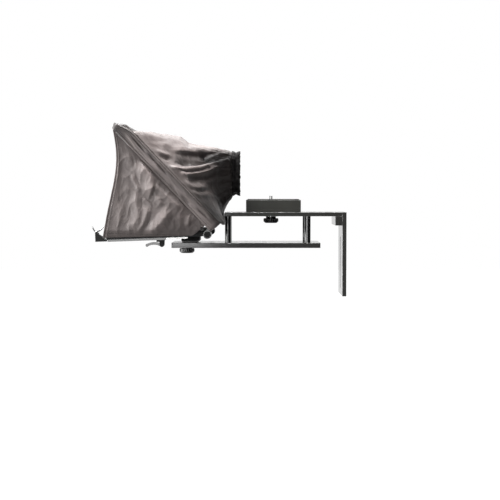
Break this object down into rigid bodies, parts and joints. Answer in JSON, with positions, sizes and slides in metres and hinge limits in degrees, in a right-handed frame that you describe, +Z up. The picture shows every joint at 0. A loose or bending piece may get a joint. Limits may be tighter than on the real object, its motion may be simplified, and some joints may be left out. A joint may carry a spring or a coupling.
{
  "type": "teleprompter",
  "caption": "Tablet teleprompter: sliding tray, folding beam splitter frame and cloth hood with lens collar, on a base plate with posts, slotted camera plate and rear plate.",
  "frame": {"origin": "axis of the middle tripod thread, on the underside of the base plate", "axes": "+X from the reader to the camera operator, along the lens axis; +Z up; +Y away from the side shown in the picture"},
  "size_m": [0.4909, 0.2866, 0.334],
  "materials": {
    "grey_anodised": "satin grey anodised",
    "black_anodised": "satin black anodised",
    "black_coat": "matt black powder coat",
    "gloss_black": "gloss black",
    "knob_plastic": "gloss black moulded",
    "block_plastic": "dark olive grey, satin",
    "grey_plastic": "natural grey nylon",
    "steel": "plated",
    "black_steel": "black oxide",
    "chrome_wire": "bright",
    "rubber": "matt black",
    "hook_tape": "woven hook tape",
    "glass": "half-silvered front face",
    "hood_cloth": "satin coated nylon, warm dark grey",
    "collar_cloth": "gathered black nylon"
  },
  "bodies": {
    "base": {"base_plate": "grey_anodised", "riser_post_front_near": "gloss_black", "riser_post_front_far": "gloss_black", "riser_post_rear_near": "gloss_black", "riser_post_rear_far": "gloss_black", "post_screws_lower": "steel", "post_screws_upper": "steel", "camera_plate": "black_anodised", "rear_plate": "black_anodised", "corner_block": "black_anodised", "corner_screws": "steel"},
    "camera_carriage": {"riser_block": "block_plastic", "riser_pad": "rubber", "camera_washer": "steel"},
    "camera_screw": {"camera_knob": "knob_plastic", "camera_stud": "steel"},
    "tray": {"tray_foot": "black_coat", "foot_pad": "grey_plastic", "foot_screws": "steel", "tray_washer": "steel", "tray_plate": "black_coat", "rear_stop": "black_coat", "grip_strips": "rubber", "hook_tape_near": "hook_tape", "hook_tape_far": "hook_tape", "hinge_ear_near": "black_coat", "hinge_ear_far": "black_coat", "hinge_ear_screws": "steel", "hinge_bolt_near": "black_steel", "hinge_bolt_far": "black_steel", "hinge_washers": "knob_plastic", "runner_guide_near": "grey_anodised", "runner_guide_far": "grey_anodised", "guide_screws": "steel", "clamp_block": "black_coat", "clamp_shoe": "grey_plastic", "lever_pin": "black_steel", "hood_panel_near": "hood_cloth", "hood_panel_far": "hood_cloth"},
    "tray_screw": {"tray_knob": "knob_plastic", "tray_stud": "steel"},
    "stop_slider": {"front_stop": "black_coat", "lip_pad": "rubber", "slider_runner_near": "steel", "slider_runner_far": "steel", "runner_screws": "steel", "tablet_clip_near": "chrome_wire", "tablet_clip_far": "chrome_wire"},
    "lever": {"clamp_lever": "grey_anodised"},
    "mirror_frame": {"frame_rail_near": "black_anodised", "frame_rail_far": "black_anodised", "frame_top_rail": "black_anodised", "frame_bottom_rail": "black_anodised", "frame_screws": "steel", "beam_splitter_glass": "glass", "hood_cuff": "hood_cloth", "hood_sleeve": "hood_cloth", "hood_collar": "collar_cloth", "collar_elastic": "rubber"}
  },
  "joints": [
    {"name": "tray_slide", "type": "slide", "parent": "base", "child": "tray", "axis": [1, 0, 0], "range_m": [-0.014, 0]},
    {"name": "tray_screw_turn", "type": "hinge", "parent": "tray", "child": "tray_screw", "pos_m": [-0.118, 0, 0], "axis": [0, 0, 1], "continuous": true},
    {"name": "stop_slide", "type": "slide", "parent": "tray", "child": "stop_slider", "axis": [-0.9994, 0, -0.0349], "range_m": [0, 0.04]},
    {"name": "lever_swing", "type": "hinge", "parent": "tray", "child": "lever", "pos_m": [-0.1605, -0.1125, 0.00901], "axis": [0, -1, 0], "range_deg": [0, 75]},
    {"name": "mirror_fold", "type": "hinge", "parent": "tray", "child": "mirror_frame", "pos_m": [-0.07313, 0, 0.02857], "axis": [0, -1, 0], "range_deg": [0, 43], "deforming": ["hood_panel_near", "hood_panel_far"]},
    {"name": "camera_slide", "type": "slide", "parent": "base", "child": "camera_carriage", "axis": [1, 0, 0], "range_m": [-0.02, 0.04]},
    {"name": "camera_screw_turn", "type": "hinge", "parent": "camera_carriage", "child": "camera_screw", "pos_m": [0.04987, 0, 0.062], "axis": [0, 0, 1], "continuous": true}
  ]
}
